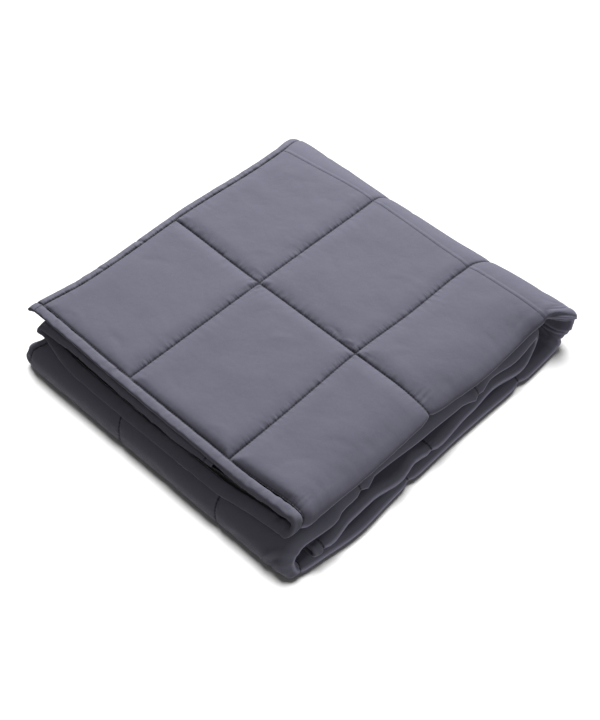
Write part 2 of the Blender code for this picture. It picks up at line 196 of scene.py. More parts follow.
# Bindings
BINDING_TUCK = 0.0004  # how far a binding reaches over the quilt's edge
BINDING_ROUNDNESS = 0.80
BINDING_HALF = 0.0036  # half a binding's thickness, which has no filling to swell it
SIDE_BINDING_HALF = 0.0030  # the side ones are pressed a little flatter
STRIP_PINCH = 0.45  # how much thinner a strip is at its inner edge
STRIP_PINCH_FROM = 0.72  # as a share of its width
STRIP_END = 0.35  # how far up a soft step a strip starts, which blunts its ends
STRIP_END_RUN = 0.004
END_OVERHANG = 0.0016  # how far the outer edge of an end binding stands out
END_SWELL = 0.12  # how much thicker an end binding gets towards the closed side
UNDER_THINNER = 0.64  # the share of its thickness that an end binding keeps underneath
UNDER_RUN = 0.02
FLAP_THINNER = 0.45  # and at the end of the inner flap
FLAP_END_RUN = 0.07
PUCKER = 0.00055
PUCKER_PITCHES = (0.011, 0.012, 0.02)  # along the strip, its slant, and across the strip
FINE_PUCKER = 0.5  # the share of finer puckers
FINE_PUCKER_PITCHES = (0.005, 0.006)  # along the strip and across it
CROSS_PUCKER = 0.0013  # the small creases that run across a strip
CROSS_PITCHES = (0.0075, 0.016, 0.03)
CROSS_SHARPNESS = 3.2
CROSS_PATCH = 0.05  # they come and go over this length
STRIP_FOLDS = (0.0945, 0.157)  # along, where the outer side's binding is folded over itself
STRIP_FOLD = 0.0020
STRIP_FOLD_RUN = 0.0018
STRIP_FOLD_SLANT = 0.25

# How finely the pieces are drawn
FINE = 0.0011  # beside a stitch line
COARSE = 0.0038  # over the cells of the top page
HIDDEN = 0.009  # along the pages below it
CLOSED_FROM = 0.424  # across, past which the closed side is drawn finely
CLOSED_STEP = 0.0011
UNDER_CLOSED_TO = 0.036  # how far past the fold it's drawn less finely
UNDER_CLOSED_STEP = 0.0024
INSIDE_STEP = 0.022  # across the layers that don't show
LINE_FREE = 9  # how many steps from a line an end without one counts as
ROUNDING = 1e-9
BACK_EVERY = 5  # the back has every fifth line of the front's points
BINDING_SIDES = 22
BINDING_STEP = 0.0016

# Seeds of the uneven values, and the numbers that scramble them
UNEVEN_SEED, FINER_UNEVEN_SEED = 5, 6
COLUMN_GATHERS_SEED, ROW_GATHERS_SEED = 11, 31
PUCKER_SEED, FINE_PUCKER_SEED, CROSS_SEED, CROSS_PATCH_SEED = 61, 63, 67, 71
SCRAMBLE = (127.1, 311.7, 74.7, 43758.5453)

Leg = namedtuple("Leg", "name turn start stop low high step")
Row = namedtuple("Row", "leg place pinch")
Reach = namedtuple("Reach", "leg place out")
Edge = namedtuple("Edge", "leg place share run stays")
Bow = namedtuple("Bow", "leg place bound first second closed")
Wrinkle = namedtuple("Wrinkle", "leg place across angle length width height")


def by_leg(kind, table):
    """The rows of a table that is written leg by leg."""
    return [kind(leg, *row) for leg, rows in table.items() for row in rows]


def level(page):
    """The middle height of a page, counted from the floor up."""
    return PAGE_THICK / 2 + (page - 1) * PAGE_PITCH


LEGS = (
    Leg("top page", 0, 0.0, TURN_FAR, level(4), level(4), COARSE),
    Leg("far turn", 1, TURN_FAR, TURN_FAR, level(1), level(4), 0.0019),
    Leg("bottom page", 0, TURN_FAR, TURN_NEAR, level(1), level(1), HIDDEN),
    Leg("near turn", -1, TURN_NEAR, TURN_NEAR, level(1), level(3), 0.0018),
    Leg("third page", 0, TURN_NEAR, TURN_INNER, level(3), level(3), HIDDEN),
    Leg("inner turn", 1, TURN_INNER, TURN_INNER, level(2), level(3), 0.003),
    Leg("second page", 0, TURN_INNER, INNER_END, level(2), level(2), HIDDEN),
)

# The row lines, and how deep their grooves are drawn. The far one is faint.
ROWS = by_leg(Row, {
    "top page": [(0.215, 1.0), (0.4195, 0.14)],
    "bottom page": [(0.37, 1.0), (0.166, 1.0)],
    "near turn": [(0.2, 1.0)],
    "third page": [(0.096, 1.0), (0.294, 1.0)],
    "second page": [(0.203, 1.0)],
})

# How far the closed side reaches out, and after it the bound side
REACHES = by_leg(Reach, {
    "top page": [
        (0.0, -0.003), (0.116, -0.001), (0.215, -0.003), (0.308, 0.002),
        (0.39, -0.002), (0.42, 0.001),
    ],
    "far turn": [(0.25, 0.016), (0.38, 0.015), (0.6, 0.01)],
    "bottom page": [(0.387, 0.013), (0.26, 0.011), (0.149, 0.013), (0.079, 0.017)],
    "near turn": [(0.2, 0.008), (0.5, 0.001), (0.8, 0.001)],
    "third page": [
        (0.045, 0.005), (0.066, -0.001), (0.105, 0.0), (0.121, -0.007),
        (0.209, -0.002), (0.27, 0.0), (0.288, 0.008), (0.325, -0.002),
        (0.364, 0.003),
    ],
    "inner turn": [(0.5, -0.003)],
    "second page": [
        (0.37, 0.011), (0.324, 0.004), (0.277, 0.008), (0.206, 0.014),
        (0.178, 0.008), (0.146, 0.014), (0.105, 0.008), (0.068, 0.009),
        (0.031, 0.015),
    ],
})

SIDE_REACHES = by_leg(Reach, {
    "top page": [(0.0, 0.002), (0.07, -0.004), (0.23, 0.004), (0.38, -0.001)],
    "bottom page": [(0.2, 0.0)],
    "near turn": [(0.3, -0.001), (0.6, -0.011), (0.85, -0.026)],
    "third page": [(0.1, -0.01)],
})

# How the filling slides away from the closed side: the share of the thickness that goes, over
# which run, and the side of the cloth that stays put (1 is its face, -1 its back)
EDGES = by_leg(Edge, {
    "top page": [
        (0.0, 0.08, 0.03, -1), (0.034, 0.5, 0.044, -1),
        (0.09, 0.66, 0.064, -1), (0.37, 0.64, 0.066, -1),
    ],
    "far turn": [(0.25, 0.55, 0.05, 1), (0.6, 0.12, 0.04, 1)],
    "bottom page": [(0.2, 0.05, 0.04, -1)],
    "near turn": [(0.6, 0.05, 0.04, -1)],
    "third page": [(0.05, 0.42, 0.036, -1), (0.35, 0.42, 0.036, -1)],
    "second page": [(0.34, 0.1, 0.03, -1), (INNER_END, 0.1, 0.03, -1)],
})

# How the cloth lies off its straight place, most of it near the crossings of its stitch lines:
# (x, y) at the bound side, on the first and the second column line, and at the closed side
BOWS = by_leg(Bow, {
    "top page": [
        (0.0, (0.001, -0.0045), (0.0018, -0.0066), (-0.0015, -0.0055), (-0.003, 0.002)),
        (0.215, (0.0038, 0.008), (-0.0009, 0.0036), (-0.0059, 0.002), (-0.003, 0.002)),
        (0.4195, (0.0041, -0.006), (0.0011, 0.0046), (-0.0025, -0.0015), (0.0, 0.0)),
    ],
    "far turn": [
        (0.25, (-0.0032, 0.0008), (0.004, -0.003), (-0.0015, -0.004), (0.0057, -0.0036)),
        (0.8, (0.0, 0.0), (0.0, 0.0), (0.0, 0.0), (0.0, 0.0)),
    ],
    "near turn": [
        (0.0, (0.0, -0.0025), (0.006, -0.0025), (0.002, -0.0025), (0.0, -0.0025)),
        (0.5, (0.0, -0.004), (0.016, -0.004), (0.009, -0.004), (0.0, -0.004)),
        (0.8, (0.0, -0.001), (0.012, -0.002), (0.007, -0.002), (0.0, -0.002)),
    ],
    "third page": [(0.05, (0.0, 0.0), (0.0, 0.0), (0.0, 0.0), (0.0, 0.0))],
})

# Creases that lie on the cloth: the place on the leg, the place across, the angle from the way
# across towards the way along, the half length, the half width and the height. The second
# part has the folds at the far closed corner and the pleats at the near one.
WRINKLES = by_leg(Wrinkle, {
    "top page": [
        (0.036, 0.122, -12, 0.016, 0.003, -0.0006), (0.047, 0.108, -8, 0.012, 0.003, 0.0005),
        (0.06, 0.075, -20, 0.014, 0.0032, -0.0005), (0.03, 0.05, 10, 0.012, 0.003, 0.0005),
        (0.09, 0.14, -30, 0.018, 0.0036, 0.0005), (0.15, 0.05, 35, 0.02, 0.004, -0.0006),
        (0.18, 0.145, -50, 0.014, 0.0036, 0.0005), (0.19, 0.21, 60, 0.016, 0.0036, -0.0006),
        (0.17, 0.255, 40, 0.02, 0.004, 0.0006), (0.04, 0.215, -25, 0.016, 0.0034, -0.0006),
        (0.032, 0.3, 15, 0.014, 0.0032, 0.0006), (0.06, 0.395, 50, 0.02, 0.0042, -0.0005),
        (0.11, 0.415, 25, 0.02, 0.0046, -0.0006), (0.25, 0.13, 40, 0.018, 0.0038, 0.0005),
        (0.3, 0.215, -35, 0.022, 0.0042, -0.0006), (0.25, 0.37, 60, 0.016, 0.0038, 0.0006),
        (0.35, 0.3, 20, 0.022, 0.0042, 0.0005), (0.38, 0.08, -20, 0.02, 0.004, -0.0005),
        (0.02, 0.436, 5, 0.012, 0.004, -0.0008), (0.048, 0.438, -12, 0.016, 0.0046, -0.0008),
        (0.092, 0.44, 8, 0.016, 0.0046, 0.0006), (0.128, 0.44, -6, 0.018, 0.005, -0.0008),
        (0.168, 0.441, 14, 0.014, 0.0042, 0.0005), (0.258, 0.44, -10, 0.018, 0.005, -0.0008),
        (0.29, 0.441, 6, 0.014, 0.0042, 0.0005), (0.345, 0.438, -16, 0.018, 0.0048, -0.0009),
        (0.395, 0.436, -50, 0.014, 0.0034, -0.001), (0.221, 0.318, 24, 0.01, 0.002, 0.0012),
        (0.223, 0.3, -18, 0.01, 0.002, -0.001),
    ],
    "far turn": [
        (0.3, 0.06, 70, 0.026, 0.0044, -0.0008), (0.42, 0.11, 35, 0.024, 0.0042, 0.0008),
        (0.55, 0.04, 15, 0.02, 0.004, -0.0007), (0.36, 0.215, 60, 0.026, 0.0044, -0.0008),
        (0.62, 0.27, 20, 0.026, 0.0044, 0.0008), (0.44, 0.305, -40, 0.02, 0.004, -0.0008),
        (0.5, 0.385, 12, 0.03, 0.0044, 0.001), (0.3, 0.4, -20, 0.026, 0.004, -0.0009),
    ],
    "near turn": [
        (0.36, 0.08, 20, 0.022, 0.004, -0.0007), (0.46, 0.15, 75, 0.018, 0.0036, 0.0006),
        (0.4, 0.25, -30, 0.024, 0.004, -0.0007), (0.42, 0.32, 60, 0.018, 0.0036, 0.0006),
        (0.44, 0.37, 25, 0.022, 0.004, -0.0008),
    ],
}) + by_leg(Wrinkle, {
    "far turn": [
        (0.08, 0.449, 102, 0.015, 0.0016, -0.003), (0.1, 0.4455, 104, 0.015, 0.0014, 0.0012),
        (0.11, 0.4415, 106, 0.014, 0.0016, -0.0024), (0.14, 0.437, 110, 0.012, 0.0018, -0.0012),
        (0.26, 0.464, -12, 0.026, 0.003, 0.003), (0.35, 0.462, 10, 0.026, 0.0028, -0.003),
        (0.44, 0.466, -8, 0.028, 0.0028, 0.0026), (0.52, 0.464, 14, 0.026, 0.0026, -0.003),
        (0.6, 0.466, 4, 0.028, 0.0028, 0.003), (0.69, 0.464, -14, 0.026, 0.0028, -0.003),
        (0.79, 0.466, 8, 0.022, 0.003, 0.0018),
    ],
    "near turn": [
        (0.55, 0.425, 45, 0.024, 0.0026, 0.0016), (0.48, 0.432, 48, 0.022, 0.0026, -0.002),
        (0.3, 0.44, 30, 0.014, 0.0028, -0.0016),
    ],
})


# --- small helpers ---


def smooth(x):
    """A step from 0 to 1 with soft ends, as x goes from 0 to 1."""
    x = np.clip(x, 0.0, 1.0)
    return x * x * (3 - 2 * x)


def mix(a, b, share):
    return a + (b - a) * share


def swell(x, run):
    """1 where x is 0, softly falling to 0 on both sides of it."""
    return np.exp(-((x / run) ** 2))


def noise(x, y, seed):
    """Smooth uneven values from about -1 to 1, one for each whole step of x and y."""
    cell_x, cell_y = np.floor(x), np.floor(y)
    by_x, by_y, by_seed, size = SCRAMBLE

    def corner(i, j):
        value = np.sin((cell_x + i) * by_x + (cell_y + j) * by_y + seed * by_seed) * size
        return 2 * (value - np.floor(value)) - 1

    share_x, share_y = smooth(x - cell_x), smooth(y - cell_y)
    low = mix(corner(0, 0), corner(1, 0), share_x)
    high = mix(corner(0, 1), corner(1, 1), share_x)
    return mix(low, high, share_y)


# --- along the blanket: the flat roll of four pages ---


def leg_length(leg):
    if leg.turn:
        return math.pi * (leg.high - leg.low) / 2
    return abs(leg.stop - leg.start)


LEG_STARTS = [sum(leg_length(before) for before in LEGS[:i]) for i in range(len(LEGS))]
LENGTH = LEG_STARTS[-1] + leg_length(LEGS[-1])
LEG_NAMED = {leg.name: leg for leg in LEGS}


def along_at(leg_name, place):
    """The distance along the blanket of a place on a page, or of a share of a turn."""
    for leg, begins in zip(LEGS, LEG_STARTS):
        if leg.name == leg_name:
            if leg.turn:
                return begins + place * leg_length(leg)
            return begins + abs(place - leg.start)
    raise ValueError(leg_name)


ROW_LINES = [along_at(row.leg, row.place) for row in ROWS]
END_LINES = [END_BINDING, LENGTH - END_BINDING]


def knots_of(rows, column):
    """Pairs of a place along the blanket and a value, from one column of a table."""
    return [(along_at(row.leg, row.place), getattr(row, column)) for row in rows]


CLOSED_KNOTS = knots_of(REACHES, "out")
BOUND_KNOTS = knots_of(SIDE_REACHES, "out")
EDGE_KNOTS = [knots_of(EDGES, column) for column in ("share", "run", "stays")]
BOW_KNOTS = [
    [[(at, shift[axis]) for at, shift in knots_of(BOWS, column)]
     for column in ("bound", "first", "second", "closed")]
    for axis in (0, 1)]


def between_knots(value, knots):
    """The smooth value between knots."""
    places = np.array([knot[0] for knot in knots])
    values = np.array([knot[1] for knot in knots])
    i = np.clip(np.searchsorted(places, value) - 1, 0, len(knots) - 2)
    share = (value - places[i]) / (places[i + 1] - places[i])
    return mix(values[i], values[i + 1], smooth(share))


def past(start, x):
    """Grows from 0 at a share of a page's width to 1 at its closed side."""
    return smooth((x / PAGE_WIDE - start) / (1 - start))


def crumple(share, x):
    """How far the far turn is pressed in by its small folds, which fade from the closed side."""
    wave = np.sin(math.pi * CRUMPLES * share) ** 2 * np.sin(math.pi * share)
    return -CRUMPLE * wave * past(CRUMPLE_STARTS, x)


def bow(x, along):
    """How far the cloth lies off its straight place, in x and in y."""
    sides = (0.0, FIRST_COLUMN, FIRST_COLUMN + CELL_ACROSS, PAGE_WIDE)
    shifts = []
    for line_knots in BOW_KNOTS:
        lines = [between_knots(along, knots) for knots in line_knots]
        shift = lines[0]
        for a, b, line, after in zip(sides, sides[1:], lines, lines[1:]):
            shift = np.where(x > a, mix(line, after, smooth((x - a) / (b - a))), shift)
        shifts.append(shift)
    return shifts


def drawn_together(x, height, along):
    """The height in the strip where the cloth gets thinner towards its closed side."""
    share, run, stays = (between_knots(along, knots) for knots in EDGE_KNOTS)
    near = np.maximum(0.0, 1 - (PAGE_WIDE - x) / run) ** 2
    stays = stays * PAGE_THICK / 2
    return stays + (height - stays) * (1 - share * near)


def sheared(x, run, depth):
    """How far a layer of the top page reaches out at its loose end; depth is 1 at the lowest."""
    tip = 1 - smooth(x / TIP_RUN)
    middle = np.maximum(0.0, 4 * depth * (1 - depth))
    reach = (1 - tip) * depth**SHEAR_POWER + tip * TIP_SHARE * middle**SHEAR_POWER
    return END_SHEAR * reach * (1 - smooth(run / END_SHEAR_RUN))


def folded(x, height, along):
    """Takes points of the three-layer strip, height over its middle, into the roll."""
    y = np.zeros_like(x)
    z = np.zeros_like(x)
    which = np.clip(np.searchsorted(LEG_STARTS, along, side="right") - 1, 0, len(LEGS) - 1)
    height = drawn_together(x, height, along)
    for i, leg in enumerate(LEGS):
        here = which == i
        if not here.any():
            continue
        run, h, at_x = along[here] - LEG_STARTS[i], height[here], x[here]
        if leg.turn:
            share = run / leg_length(leg)
            if leg.name == "far turn":
                h = h + crumple(share, at_x)
            out, up = np.sin(math.pi * share), leg.turn * np.cos(math.pi * share)
            power = np.full_like(at_x, ROUND)
            if leg.low == level(1):
                if leg.name == "far turn":
                    power = mix(ROUND, CORNER_SQUARENESS, past(CORNER_STARTS, at_x))
                power = np.where(up < 0, TURN_SQUARENESS, power)
            radius = (leg.high - leg.low) / 2 + h
            radius = radius / (np.abs(out) ** power + np.abs(up) ** power) ** (1 / power)
            y[here] = leg.start + leg.turn * radius * out
            z[here] = (leg.high + leg.low) / 2 + radius * up
        else:
            forward = 1 if leg.stop > leg.start else -1
            y[here] = leg.start + forward * run
            z[here] = leg.low + forward * h
        if leg.name == "top page":
            depth = np.maximum(0.0, 0.5 - h / PAGE_THICK)
            y[here] -= sheared(at_x, run, depth)
            z[here] -= END_DRAPE * depth * np.maximum(0.0, 1 - run / END_DRAPE_RUN) ** 2
    z = z * (1 - THINNER_AT_FOLD * x / PAGE_WIDE)
    bow_x, bow_y = bow(x, along)
    share = x / PAGE_WIDE
    # the closed side's reach fades by the middle, and the bound side's after a third
    closed = between_knots(along, CLOSED_KNOTS) * smooth(2 * share - 1)
    bound = between_knots(along, BOUND_KNOTS) * (1 - smooth(3 * share))
    return x + closed - bound + bow_x, y + bow_y, z


# --- across the blanket: the strip of three layers ---

THREE = (PAGE_THICK - 2 * LAYER_GAP) / 3
TWO = (PAGE_THICK - LAYER_GAP) / 2
FOLD_X = PAGE_WIDE - PAGE_THICK / 2
FOLD_RADIUS = (PAGE_THICK - TWO) / 2
TUCK_RADIUS = (THREE + LAYER_GAP) / 2
TUCK_X = TUCKED_EDGE + TUCK_RADIUS + THREE / 2

FOLD_STARTS = FOLD_X
FOLD_ENDS = FOLD_STARTS + math.pi * FOLD_RADIUS
TUCK_STARTS = FOLD_ENDS + FOLD_X - TUCK_X
TUCK_ENDS = TUCK_STARTS + math.pi * TUCK_RADIUS
WIDTH = 2 * SIDE_BINDING + 2 * SIDE_CELL_ACROSS + (COLUMNS - 2) * CELL_ACROSS
FLAP_ENDS = TUCK_X + WIDTH - TUCK_ENDS

COLUMN_LINES = [FIRST_COLUMN + i * CELL_ACROSS for i in range(COLUMNS - 1)]
SIDE_LINES = [SIDE_BINDING, WIDTH - SIDE_BINDING]
RIDGE_LINE = mix(FOLD_STARTS, FOLD_ENDS, RIDGE_AT)
LINES_ACROSS = SIDE_LINES + COLUMN_LINES
LINES_ALONG = END_LINES + ROW_LINES
SEAMS_ACROSS = [(line, 1.0) for line in LINES_ACROSS]
END_SEAMS = [(line, 1.0) for line in END_LINES]
ROW_SEAMS = [(line, row.pinch) for line, row in zip(ROW_LINES, ROWS)]
SEAMS_ALONG = END_SEAMS + ROW_SEAMS


def layer_thickness(x):
    """Thin beside the inner flap, thick past its end."""
    return mix(THREE, TWO, smooth((x - FLAP_ENDS - LAYER_GAP) / THICKENING_RUN))


def heights(along, x):
    """The middle heights of the upper, the lower and the flap layer of the strip."""
    near = 1 - smooth(along / END_OPENING_RUN)
    apart = END_OPENING * near * (1 - smooth(x / FOLD_X))
    droop = EDGE_DROOP * np.maximum(0.0, 1 - x / EDGE_DROOP_RUN) ** 2
    thick = layer_thickness(x)
    upper = (PAGE_THICK - thick) / 2 + apart - droop
    lower = -(PAGE_THICK - thick) / 2
    return upper, lower, FLAP_FOLLOWS * apart


def section(across, along):
    """Where points across the blanket lie in the strip: x, height, outward angle and half
    their thickness."""
    fold_angle = math.pi * (across - FOLD_STARTS) / (FOLD_ENDS - FOLD_STARTS)
    tuck_angle = math.pi * (across - TUCK_STARTS) / (TUCK_ENDS - TUCK_STARTS)
    fold_x = FOLD_X + FOLD_RADIUS * np.sin(fold_angle)
    tuck_x = TUCK_X - TUCK_RADIUS * np.sin(tuck_angle)
    under_x = FOLD_X - (across - FOLD_ENDS)
    flap_x = TUCK_X + across - TUCK_ENDS
    upper, lower, _ = heights(along, np.full_like(across, FOLD_X))
    fold_height = (upper + lower) / 2 + (upper - lower) / 2 * np.cos(fold_angle)
    _, lower, flap = heights(along, np.full_like(across, TUCK_X))
    tuck_height = (flap + lower) / 2 - (flap - lower) / 2 * np.cos(tuck_angle)
    up = math.pi / 2
    parts = (
        (FOLD_STARTS, across, heights(along, across)[0], up, layer_thickness(across) / 2),
        (FOLD_ENDS, fold_x, fold_height, up - fold_angle, TWO / 2),
        (TUCK_STARTS, under_x, heights(along, under_x)[1], -up, layer_thickness(under_x) / 2),
        (TUCK_ENDS, tuck_x, tuck_height, -up - tuck_angle, THREE / 2),
        (math.inf, flap_x, heights(along, flap_x)[2], up, THREE / 2),
    )
    masks = [across <= stop for stop, *_ in parts]
    return [
        np.select(masks, [np.broadcast_to(values[i], across.shape) for _, *values in parts])
        for i in range(4)]


def place(across, along, lift):
    """The points of the folded blanket over points of the flat one."""
    x, height, angle, _ = section(across, along)
    x, y, z = folded(x + lift * np.cos(angle), height + lift * np.sin(angle), along)
    return np.stack([x, y, np.maximum(0.0, z)], -1) + ORIGIN


# The folded blanket starts at its bound near corner, and the solids' origin is under the
# middle of their box, so that corner says how far to move it.
low_corner, high_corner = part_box("binding_outer_side")
loose_low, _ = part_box("binding_loose_end")
near_reach = (level(3) - level(1)) / 2 + THREE / 2
far_reach = (level(4) - level(1)) / 2 + THREE / 2
bound_bow = between_knots(along_at("near turn", 0.5), BOW_KNOTS[1][0])
ORIGIN = np.array([
    loose_low.x + SIDE_REACHES[0].out,
    (low_corner.y + high_corner.y - TURN_FAR - far_reach - TURN_NEAR + near_reach - bound_bow) / 2,
    0.0,
])


# --- the quilt's two faces ---


def distance_to(value, lines):
    """How far each value is from the nearest of the lines."""
    return np.min([np.abs(value - line) for line in lines], axis=0)


def pinched(value, lines, run=SEAM_PINCH_RUN):
    """1 on a stitch line, falling to 0 where its groove ends. lines holds places and pinches."""
    return np.max([
        pinch * np.maximum(0.0, 1 - np.abs(value - line) / run) ** 2
        for line, pinch in lines], axis=0)


def creased(value, lines):
    """1 on a stitch line, falling to 0 beside its thread."""
    return sum(pinch * np.exp(-np.abs(value - line) / CREASE_RUN) for line, pinch in lines)


def turn_share(leg_name, along):
    """How far round a turn each place along the blanket is: 0 to 1 on the turn."""
    return (along - along_at(leg_name, 0)) / leg_length(LEG_NAMED[leg_name])


def crown_room(across, along):
    """The share of the crown that a cell's front has room for."""
    far_share, near_share = turn_share("far turn", along), turn_share("near turn", along)
    room = np.select(
        [along < along_at("far turn", 0), far_share < 1, (near_share > 0) & (near_share < 1)],
        [1.0, TURN_CROWN * (1 - far_share), NEAR_TURN_CROWN * np.sin(math.pi * near_share)], 0.0)
    return room * (1 - smooth((across - FOLD_STARTS) / (FOLD_ENDS - FOLD_STARTS)))


def gathers(run, away, seed):
    """Ripples that run out from a stitch line and fade: run is the way along the line."""
    shift, growth, stretch, lean = [
        spread * noise(run / pitch, seed, seed + 1 + i)
        for i, (spread, pitch) in enumerate(GATHER_SPREADS)]
    length = GATHER_RUN * (1 + stretch)
    fade = swell(away, length) * smooth(away / GATHER_CLEAR)
    phase = run / GATHER_PITCH + shift + lean * away / GATHER_PITCH
    return GATHER * (GATHER_SIZE + growth) * fade * np.cos(2 * math.pi * phase)


def all_gathers(across, along):
    """The ripples of all the stitch lines, with other ones on the two sides of each."""
    ripples = np.zeros_like(across)
    for lines, seed, value, run in (
            (LINES_ACROSS, COLUMN_GATHERS_SEED, across, along),
            (LINES_ALONG, ROW_GATHERS_SEED, along, across)):
        for i, line in enumerate(lines):
            ripples += gathers(run, np.abs(value - line), seed + i + 0.5 * (value > line))
    return ripples


def on_wrinkle(row, width, across, along):
    """1 in the middle of a crease, falling to 0 round it."""
    dx, dy = across - row.across, along - along_at(row.leg, row.place)
    angle = math.radians(row.angle)
    run = dx * math.cos(angle) + dy * math.sin(angle)
    away = dy * math.cos(angle) - dx * math.sin(angle) + WRINKLE_BEND * run**2 / row.length
    return np.exp(-((run / row.length) ** 2) - (away / width) ** 2)


def wrinkled(across, along):
    """How far the creases that lie on the cloth stand up."""
    return sum(row.height * on_wrinkle(row, row.width, across, along) for row in WRINKLES)


def crest_highlights(across, along):
    """The painted highlight on the crests of the creases that stand up most."""
    crests = [row for row in WRINKLES if row.height > CREST_FROM]
    return sum(on_wrinkle(row, CREST_RUN, across, along) for row in crests)


def gathered(along):
    """The share of the gathers that a place along the blanket has."""
    from_line = distance_to(along, END_LINES + [ROW_LINES[1]])
    return mix(1.0, END_GATHER, np.exp(-((from_line / GATHER_RUN) ** 4)))


def end_puff(across, along):
    """The share by which the filling stands up beside the strip at the loose end."""
    from_end = along - END_BINDING
    fall = smooth((from_end - END_PUFF_RISE) / END_PUFF_RUN)
    puff = smooth(from_end / END_PUFF_RISE) * (1 - fall)
    return puff * mix(*END_PUFF_SHARES, smooth(across / PAGE_WIDE))


def uneven_filling(across, along):
    """How unevenly the beads lie, in two sizes."""
    x, y = across / UNEVEN_PITCH, along / UNEVEN_PITCH
    finer = noise(x * FINER_BY[0], y * FINER_BY[1], FINER_UNEVEN_SEED)
    return noise(x, y, UNEVEN_SEED) + FINER_UNEVEN * finer


def front_lift(across, along):
    """How far the quilt's front lies from its middle."""
    room = section(across, along)[3]
    column_share = mix(1.0, FAR_SEAM, smooth((along - FAR_SEAM_STARTS) / FAR_SEAM_RUN))
    pinch = np.maximum(column_share * pinched(across, SEAMS_ACROSS), pinched(along, ROW_SEAMS))
    end_pinch = mix(*END_PINCHES, smooth(across / PAGE_WIDE))
    pinch = np.maximum(pinch, end_pinch * pinched(along, END_SEAMS, END_PINCH_RUN))
    crease = creased(across, SEAMS_ACROSS) + creased(along, SEAMS_ALONG)
    open_share = crown_room(across, along)
    lift = room * (1 - SEAM_PINCH * pinch) + CROWN * open_share * (1 - pinch)
    lift -= CREASE * np.minimum(1.0, crease)
    puff = end_puff(across, along)
    lift += END_PUFF * puff * open_share * (1 - pinched(across, SEAMS_ACROSS))
    lift += UNEVEN * open_share * uneven_filling(across, along) * (1 - pinch)
    lift += RIDGE * swell(across - RIDGE_LINE, RIDGE_RUN)
    gather_share = np.maximum(LEAST_GATHERS, open_share)
    ripples = all_gathers(across, along) * gather_share * gathered(along)
    return lift + ripples + wrinkled(across, along)


def back_lift(across, along):
    """How far the quilt's back lies from its middle."""
    room = section(across, along)[3]
    from_seam = np.minimum(distance_to(across, LINES_ACROSS), distance_to(along, LINES_ALONG))
    return -room * (1 - SEAM_PINCH * np.maximum(0.0, 1 - from_seam / SEAM_PINCH_RUN) ** 2)


def graded(start, stop, step, fine_start, fine_stop):
    """Stations from start to stop, step apart, closer beside an end that is a stitch line."""
    stations = [start]
    while stations[-1] < stop:
        at = stations[-1]
        from_start = at - start if fine_start else step * LINE_FREE
        from_stop = stop - at if fine_stop else step * LINE_FREE
        share = float(smooth(min(from_start, from_stop) / SEAM_PINCH_RUN))
        stations.append(at + min(step, mix(FINE, step, share)))
    fit = (stop - start) / (stations[-1] - start)
    return [start + (at - start) * fit for at in stations]


def stations(marks):
    """Stations through marks, which are (place, step after it, whether it is a stitch line)."""
    marks = sorted(marks)
    found = [marks[0][0]]
    for (a, step, seam_a), (b, _, seam_b) in zip(marks, marks[1:]):
        if b - a > ROUNDING:
            found += graded(a, b, step, seam_a, seam_b)[1:]
    return np.array(found)


def stations_across():
    def step_at(place):
        if place < CLOSED_FROM:
            return COARSE
        if place < FOLD_ENDS or TUCK_STARTS <= place < TUCK_ENDS:
            return CLOSED_STEP
        if place < FOLD_ENDS + UNDER_CLOSED_TO:
            return UNDER_CLOSED_STEP
        return INSIDE_STEP
    turns = [CLOSED_FROM, FOLD_STARTS, RIDGE_LINE, FOLD_ENDS, FOLD_ENDS + UNDER_CLOSED_TO,
             TUCK_STARTS, TUCK_ENDS]
    shown = [place for place in LINES_ACROSS if place < FOLD_ENDS]
    return stations([(p, step_at(p), p in shown) for p in LINES_ACROSS + turns])


def stations_along():
    def step_at(place):
        begun = [leg for leg, begins in zip(LEGS, LEG_STARTS) if place >= begins - ROUNDING]
        return begun[-1].step
    shown = [END_LINES[0]] + ROW_LINES[:2]
    return stations([(p, step_at(p), p in shown) for p in LINES_ALONG + LEG_STARTS[1:]])


def whole(found):
    """Adds stations by halving the widest steps until they split into whole groups."""
    found = list(found)
    while (len(found) - 1) % BACK_EVERY:
        i = int(np.argmax(np.diff(found)))
        found.insert(i + 1, (found[i] + found[i + 1]) / 2)
    return np.array(found)


# --- making pieces ---


def new_object(name, data):
    """Puts a mesh, a camera or a light into the scene."""
    found = bpy.data.objects.new(name, data)
    bpy.context.scene.collection.objects.link(found)
    return found


def make_piece(name, points, faces, flat, seams, material):
    """A smooth mesh that rides on the frame. flat holds each point's place on the cloth and its
    share of gathers; seams holds how far it is from a stitch line that runs along and
    from one that runs across, and its painted highlight."""
    mesh = bpy.data.meshes.new(name)
    mesh.from_pydata([tuple(p) for p in points], [], faces)
    mesh.validate()
    for attribute_name, found in (("cloth", flat), ("seams", seams)):
        attribute = mesh.attributes.new(attribute_name, "FLOAT_VECTOR", "POINT")
        attribute.data.foreach_set("vector", found.astype(np.float32).ravel())
    mesh.shade_smooth()
    mesh.materials.append(material)
    piece = new_object(name, mesh)
    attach(piece, "root")
    return piece


def grid_faces(numbers, flip=False):
    """The faces of a grid of points, which is given by their numbers."""
    corners = [numbers[:-1, :-1], numbers[:-1, 1:], numbers[1:, 1:], numbers[1:, :-1]]
    quads = np.stack(corners, -1).reshape(-1, 4)
    return (quads[:, ::-1] if flip else quads).tolist()


def tube_faces(rings, sides, first=0):
    """The faces of a closed tube of rings of points, whose numbers start at first."""
    numbers = first + np.arange(rings * sides).reshape(rings, sides)
    faces = grid_faces(np.hstack([numbers, numbers[:, :1]]))
    return faces + [numbers[0, ::-1].tolist(), numbers[-1].tolist()]


